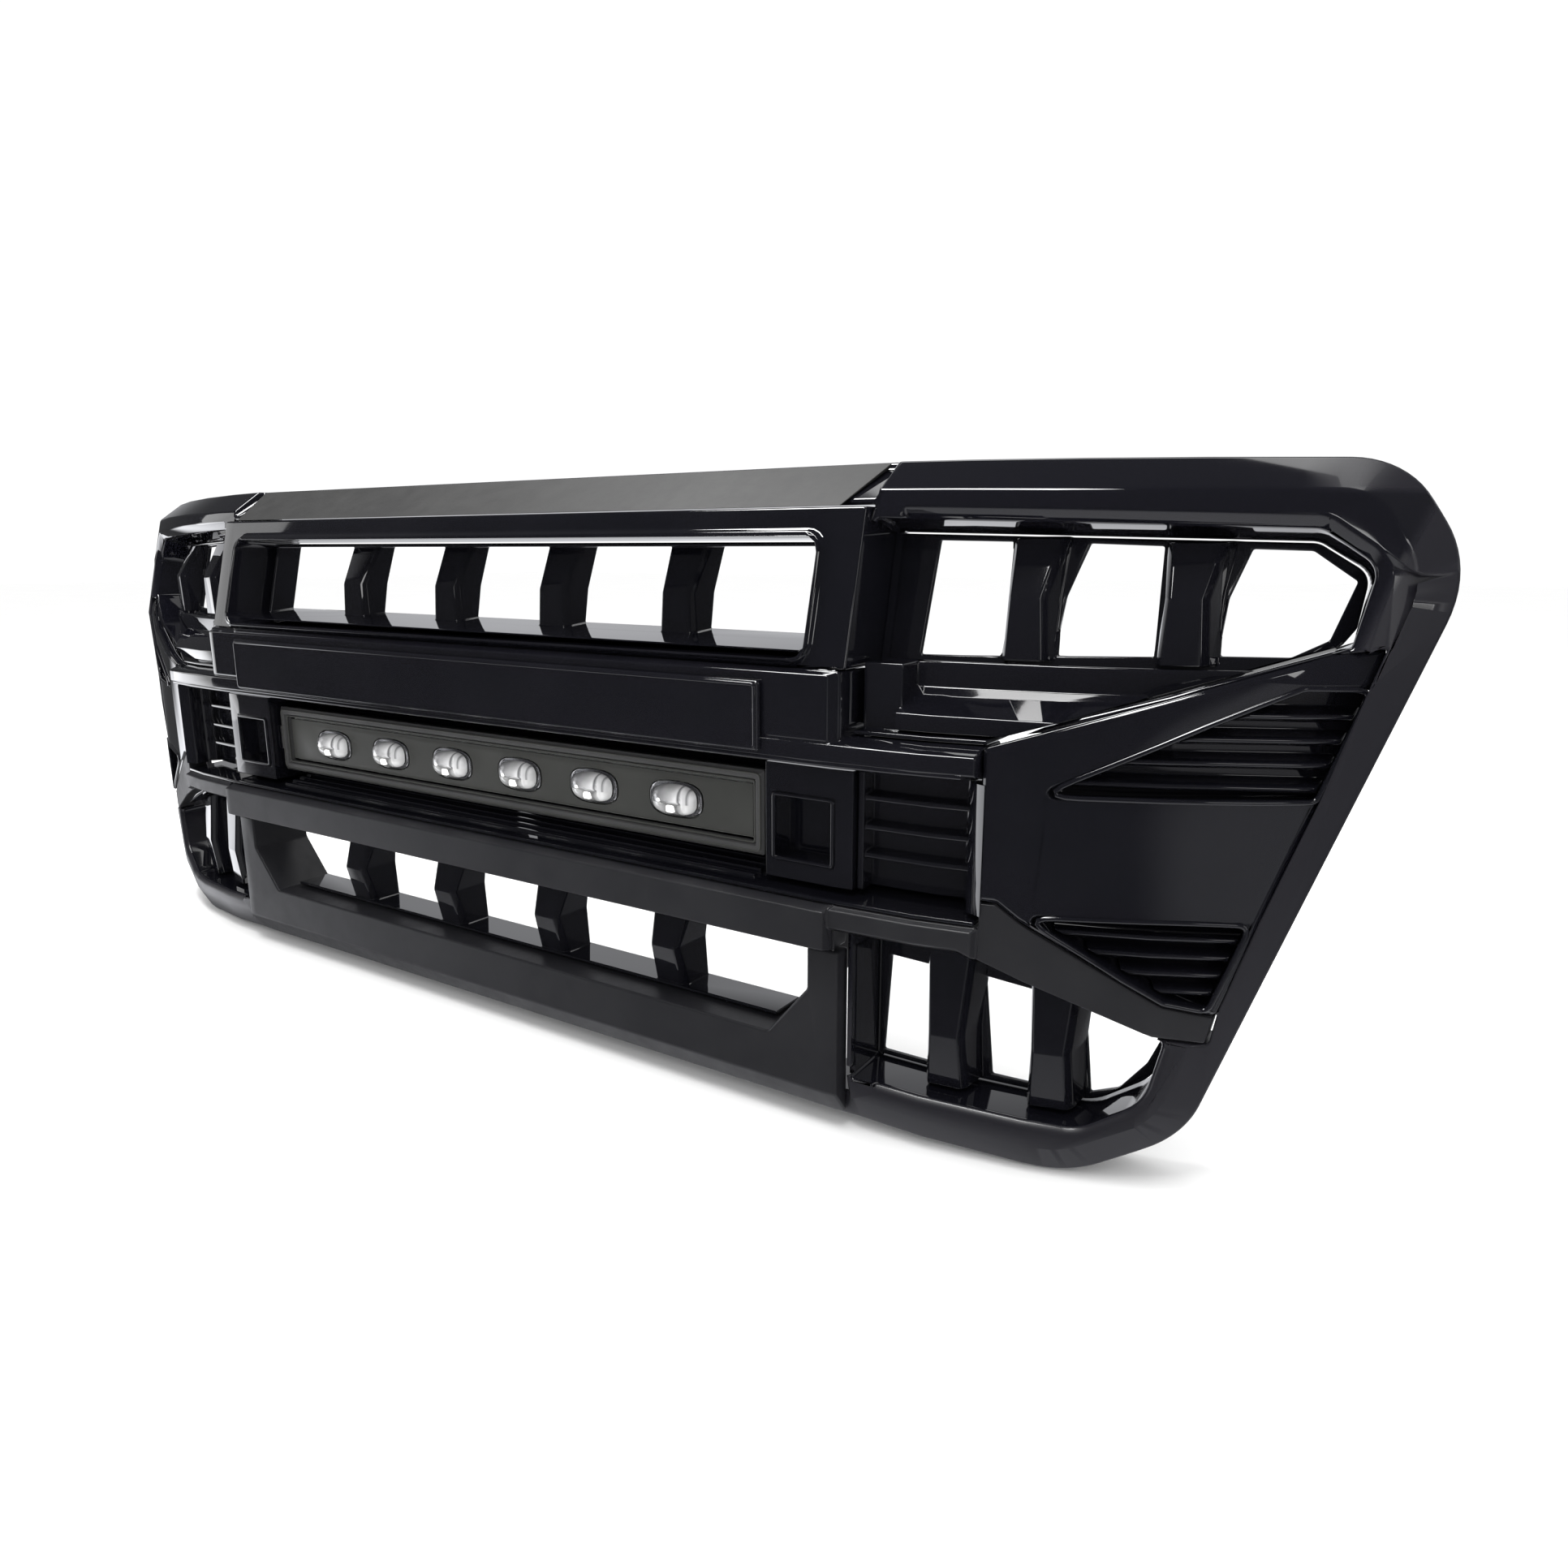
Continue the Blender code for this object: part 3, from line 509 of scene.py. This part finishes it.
def vent_beads():
    """Raised rounded lips round the vent windows in both wings."""
    for label, side in HANDS:
        mesh = bmesh.new()
        for corners in (UPPER_VENT, LOWER_VENT):
            path = outwards(rounded_path(corners, VENT_CORNER), VENT_OUT)
            tube(mesh, [placed(side * p.x, VENT_Y, p.y, True) for p in path], VENT_RADIUS)
        piece(f"vent_beads_{label}", mesh)


POCKET_X, POCKET_Z, POCKET_HALF_X, POCKET_HALF_Z = 282.5, -4.0, 20.5, 20.0
POCKET_PROUD, POCKET_RADIUS, POCKET_CORNER = 0.3, 1.2, 2.0


def pocket_beads():
    """Thin raised lips round the square pockets."""
    for label, side in HANDS:
        front = flat_y(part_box(f"pocket_block_{label}")[0].y)
        x = side * POCKET_X
        corners = rectangle(x - POCKET_HALF_X, x + POCKET_HALF_X, POCKET_Z - POCKET_HALF_Z,
                            POCKET_Z + POCKET_HALF_Z)
        rectangle_bead(f"pocket_bead_{label}", corners, front - POCKET_PROUD, POCKET_RADIUS, POCKET_CORNER)


LIP = ((396.4, -10.2), (387.2, -5.0), (386.5, -3.6), (386.5, 6.0), (396.4, 6.0))
LIP_REACH = (-37.0, 36.5)  # from foot to top
POST = ((386.2, 7.6), (379.5, 11.4), (379.0, 12.4), (379.0, 17.5), (386.2, 17.5))
POST_REACH = (-35.5, 34.0)


def recess_lips():
    """Broad rounded lips at the outer ends of the light recess, and rounded posts between the pads' ribs."""
    for label, side in HANDS:
        mesh = bmesh.new()
        column(mesh, LIP, side, *LIP_REACH)
        column(mesh, POST, side, *POST_REACH)
        piece(f"recess_lip_{label}", mesh)


# Each wall's reach across, from front to back and from foot to top.
SEAM_WALLS = (((314.4, 318.8), (33.5, 37.6), (88.0, 169.2)),
              ((313.5, 318.1), (20.5, 25.6), (60.2, 92.0)),
              ((312.7, 316.6), (7.0, 37.5), (-157.5, -73.2)))


def seam_walls():
    """The narrow upright walls that close the seams beside the centre section."""
    for label, side in HANDS:
        mesh = bmesh.new()
        for across, depth, reach in SEAM_WALLS:
            column(mesh, rectangle(*across, *depth), side, *reach)
        piece(f"seam_walls_{label}", mesh)


BROW_HALF, BROW_PARTS, BROW_Y, BROW_Z, BROW_RADIUS = 386.0, 20, -15.6, 41.2, 1.7
BROW_UP = Vector((0, -1, 0.3))


def brow_bead():
    """The rolled lower edge of the brow over the light recess."""
    mesh = bmesh.new()
    step = 2 * BROW_HALF / BROW_PARTS
    path = [placed(-BROW_HALF + i * step, BROW_Y, BROW_Z) for i in range(BROW_PARTS + 1)]
    tube(mesh, path, BROW_RADIUS, up=BROW_UP, closed=False)
    piece("brow_bead", mesh)


PLATE_MARGIN, PLATE_BACK, PLATE_RADIUS, PLATE_CORNER = 3.2, 0.5, 1.0, 2.5


def plate_bead():
    """The raised outline of the name plate's face."""
    low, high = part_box("name_panel")
    x = high.x / MM - PLATE_MARGIN
    corners = rectangle(-x, x, low.z / MM + PLATE_MARGIN, high.z / MM - PLATE_MARGIN)
    rectangle_bead("name_panel_bead", corners, flat_y(low.y) + PLATE_BACK, PLATE_RADIUS, PLATE_CORNER)


# ---------------------------------------------------------------- the light bar's face and optics

# Each ridge's place in from the bezel's edge and back from its front.
RIDGES = ((2.2, 0.2), (4.6, 0.9), (7.2, 1.9))
RIDGE_RADIUS = 0.75
OUTER_CORNER, CORNER_CLOSING = 4.0, 0.3  # the corners get tighter further in


def bezel_ridges():
    """Stepped ridges round the bar's face."""
    low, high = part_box("light_bezel")
    for number, (gap, back) in enumerate(RIDGES, start=1):
        x, z = high.x / MM - gap, high.z / MM - gap
        rectangle_bead(f"bezel_ridge_{number}", rectangle(-x, x, -z, z), flat_y(low.y) + back, RIDGE_RADIUS,
                       OUTER_CORNER - gap * CORNER_CLOSING, "grey_face", "light_bar")


OVAL_POWER, CHIP_POWER = 0.72, 0.45  # 1 is a plain oval, and lower is squarer
CUP_SIDES, OPTIC_SIDES, CHIP_SIDES = 48, 96, 20
CUP_GAP = 0.0002
# The cup's section, from its back edge over the rolled rim to the dish: shares of its half size and depth.
CUP_PROFILE = ((1.0, 0.55), (1.0, 0.02), (0.975, -0.03), (0.945, 0.02), (0.93, 0.12), (0.88, 0.34),
               (0.8, 0.55), (0.68, 0.72), (0.52, 0.83), (0.34, 0.88))
DOME_RINGS = 22
DOME_POWER = 0.8
# The optic's face in shares of its half width u and half height v: a groove under the ledge, two upright
# steps beside it, and a lowered field below. Depths are shares of the dome's depth.
LEDGE_V, LEDGE_WIDTH, LEDGE_FROM, LEDGE_TO, LEDGE_DEPTH = -0.12, 0.09, -0.45, 0.5, 0.22
STEPS, STEP_WIDTH = ((0.52, 0.2), (0.72, 0.1)), 0.05
FIELD_DEPTH = 0.03
# The LED chip squares: place (u, v) and half sizes in millimetres; then their section, (share of size,
# depth).
CHIPS = ((0.12, -0.45, 3.3, 2.4), (-0.42, 0.05, 1.2, 1.2))
CHIP_PROFILE = ((1.0, 2.2), (1.0, 0.5), (0.9, 0.1), (0.7, 0.0))
CHIP_PROUD = 0.06


def oval(half_x, half_z, sides, power=OVAL_POWER):
    """Offsets (x, z) round a squarish oval."""
    for k in range(sides):
        angle = 2 * math.pi * k / sides
        c, s = math.cos(angle), math.sin(angle)
        yield half_x * math.copysign(abs(c) ** power, c), half_z * math.copysign(abs(s) ** power, s)


def extent(node):
    """A node's low and high corners and middle, and its half width, half height and depth."""
    low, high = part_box(node)
    return low, high, (low + high) / 2, (high.x - low.x) / 2, (high.z - low.z) / 2, high.y - low.y


def optic_cup(index):
    """A bright dished cup with a rolled rim, in place of the plain one."""
    node = f"led_reflector_{index}"
    low, _, middle, half_x, half_z, depth = extent(node)
    mesh = bmesh.new()
    dished(mesh, [[Vector((middle.x + x, low.y + reach * depth, middle.z + z))
                   for x, z in oval((half_x - CUP_GAP) * size, (half_z - CUP_GAP) * size, CUP_SIDES)]
                  for size, reach in CUP_PROFILE])
    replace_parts(piece(f"optic_cup_{index}", mesh, "silver_reflector", "light_bar"), node)


def relief(u, v):
    """How far the optic's face is set back at (u, v), as a share of its depth."""
    depth = sum(amount * math.exp(-((u - place) / STEP_WIDTH) ** 2) for place, amount in STEPS)
    if LEDGE_FROM < u < LEDGE_TO:
        depth += LEDGE_DEPTH * math.exp(-((v - LEDGE_V) / LEDGE_WIDTH) ** 2)
    if v < LEDGE_V and u < LEDGE_TO:
        depth += FIELD_DEPTH
    return depth


def optic_body(index):
    """A domed optic split by a ledge and a step, in place of the plain lens."""
    node = f"led_lens_{index}"
    _, high, middle, half_x, half_z, depth = extent(node)
    rings = []
    for j in range(DOME_RINGS):
        lift = 0.5 * math.pi * j / (DOME_RINGS - 0.4)
        size, rise = math.cos(lift) ** DOME_POWER, math.sin(lift)
        rings.append([Vector((middle.x + x,
                              high.y - depth * rise + depth * rise ** 2 * relief(x / half_x, z / half_z),
                              middle.z + z))
                      for x, z in oval(half_x * size, half_z * size, OPTIC_SIDES)])
    mesh = bmesh.new()
    dished(mesh, rings)
    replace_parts(piece(f"optic_body_{index}", mesh, "clear_lens", "light_bar", OPTIC), node)


def optic_chips(index):
    """The square LED chips on the optic's dome, which glow with painted light."""
    _, high, middle, half_x, half_z, depth = extent(f"led_lens_{index}")
    mesh = bmesh.new()
    for u, v, size_x, size_z in CHIPS:
        size = (abs(u) ** (2 / OVAL_POWER) + abs(v) ** (2 / OVAL_POWER)) ** (OVAL_POWER / 2)
        front = high.y - depth * (math.sqrt(1 - size ** (2 / DOME_POWER)) + CHIP_PROUD)
        center_x, center_z = middle.x + u * half_x, middle.z + v * half_z
        dished(mesh, [[Vector((center_x + x * MM, front + back * MM, center_z + z * MM))
                       for x, z in oval(size_x * scale, size_z * scale, CHIP_SIDES, CHIP_POWER)]
                      for scale, back in CHIP_PROFILE])
    piece(f"optic_chips_{index}", mesh, "clear_lens", "light_bar", CHIP_PAINTED_GLOW)


def optics():
    for index in range(1, LED_COUNT + 1):
        optic_cup(index)
        optic_body(index)
        optic_chips(index)


# ---------------------------------------------------------------- stage, light and camera

FLOOR_HALF = 12.0
FLOOR_GAP = 0.0005


def stage():
    """A pale floor just under the grille, which its gloss doesn't mirror."""
    mesh = bmesh.new()
    bmesh.ops.create_grid(mesh, x_segments=2, y_segments=2, size=FLOOR_HALF)
    data = bpy.data.meshes.new("floor")
    mesh.to_mesh(data)
    mesh.free()
    data.materials.append(floor_paper())
    floor = bpy.data.objects.new("floor", data)
    floor.location = (0, 0, CAD_BOX[0].z - FLOOR_GAP)
    floor.visible_glossy = False
    bpy.context.scene.collection.objects.link(floor)


# Each softbox: place and target in metres, width and height, and watts.
SOFTBOXES = {
    "top": ((-0.2, -0.35, 1.9), (0, -0.1, 0), (2.0, 0.4), 42),
    "back": ((0.2, 1.5, 2.3), (0, 0, 0.1), (3.0, 0.8), 10),
    "left": ((-2.3, -0.7, 0.3), (0, 0, 0), (0.7, 1.2), 2.5),
    "right": ((2.3, -0.1, 0.5), (0, 0, 0), (0.3, 1.2), 2.5),
    "front": ((2.0, -1.5, 0.75), (0, 0, 0), (0.3, 0.3), 0.9),
}


def stand(thing, place, direction):
    """Puts a light or camera in the scene, looking along a direction."""
    thing.location = place
    thing.rotation_mode = "QUATERNION"
    thing.rotation_quaternion = direction.to_track_quat("-Z", "Y")
    bpy.context.scene.collection.objects.link(thing)


def lights():
    for name, (place, target, size, power) in SOFTBOXES.items():
        light = bpy.data.lights.new(name, "AREA")
        light.shape = "RECTANGLE"
        light.size, light.size_y = size
        light.energy = power
        stand(bpy.data.objects.new(name, light), place, Vector(target) - Vector(place))


PLAIN_GLOW = 1.06
ROOM_GLOW = 0.05
ROOM_TINT = (0.95, 0.96, 1.0, 1)
# Bright parts of the room that gloss mirrors: a direction, the cosines where each starts and is full, and
# its strength.
ROOM_LOBES = (((-0.5, 0.86, 0.05), 0.72, 0.95, 0.55),
              ((0.3, 0.9, 0.3), 0.9, 1.0, 0.2),
              ((0, 0, -1), 0.4, 0.85, 0.55),
              ((0.7, -0.66, -0.27), 0.965, 0.992, 0.22),
              ((-0.25, 0.82, -0.5), 0.8, 0.97, 0.5),
              ((-0.94, -0.18, -0.27), 0.94, 0.985, 2.2))


def world():
    """Plain white for the camera and matt surfaces; gloss mirrors a dark room with a few bright parts."""
    scene = bpy.context.scene
    scene.world = bpy.data.worlds.new("studio")
    scene.world.use_nodes = True
    g = Nodes(scene.world.node_tree)
    g.tree.nodes.clear()
    coords = g.add("ShaderNodeTexCoord").outputs["Generated"]
    glow = ROOM_GLOW
    for direction, start, full, amount in ROOM_LOBES:
        lobe = g.add("ShaderNodeVectorMath", operation="DOT_PRODUCT")
        g.feed(lobe.inputs[0], coords)
        g.feed(lobe.inputs[1], Vector(direction).normalized())
        fade = g.spread(lobe.outputs["Value"], 0.0, amount, start, full, interpolation_type="SMOOTHSTEP")
        glow = g.maths("ADD", fade, glow)
    mix = g.add("ShaderNodeMixShader")
    g.feed(mix.inputs["Fac"], g.add("ShaderNodeLightPath").outputs["Is Glossy Ray"])
    for index, colour, strength in ((1, (1, 1, 1, 1), PLAIN_GLOW), (2, ROOM_TINT, glow)):
        background = g.add("ShaderNodeBackground")
        g.feed(background.inputs["Color"], colour)
        g.feed(background.inputs["Strength"], strength)
        g.feed(mix.inputs[index], background.outputs["Background"])
    g.feed(g.add("ShaderNodeOutputWorld").inputs["Surface"], mix.outputs["Shader"])
    scene.view_settings.view_transform = "Standard"


CAMERA_PLACE = (0.6008, -0.5672, 0.1596)
CAMERA_AZIMUTH, CAMERA_ELEVATION = math.radians(32.506), math.radians(12.55)
CAMERA_LENS = 24.224


def camera():
    data = bpy.data.cameras.new("camera")
    data.lens = CAMERA_LENS
    data.sensor_width = 36.0
    data.clip_start = 0.01
    thing = bpy.data.objects.new("camera", data)
    level = math.cos(CAMERA_ELEVATION)
    view = Vector((-math.sin(CAMERA_AZIMUTH) * level, math.cos(CAMERA_AZIMUTH) * level,
                   -math.sin(CAMERA_ELEVATION)))
    stand(thing, CAMERA_PLACE, view)
    bpy.context.scene.camera = thing


finish_nodes()
vent_beads()
pocket_beads()
recess_lips()
seam_walls()
brow_bead()
plate_bead()
bezel_ridges()
optics()
stage()
lights()
world()
camera()
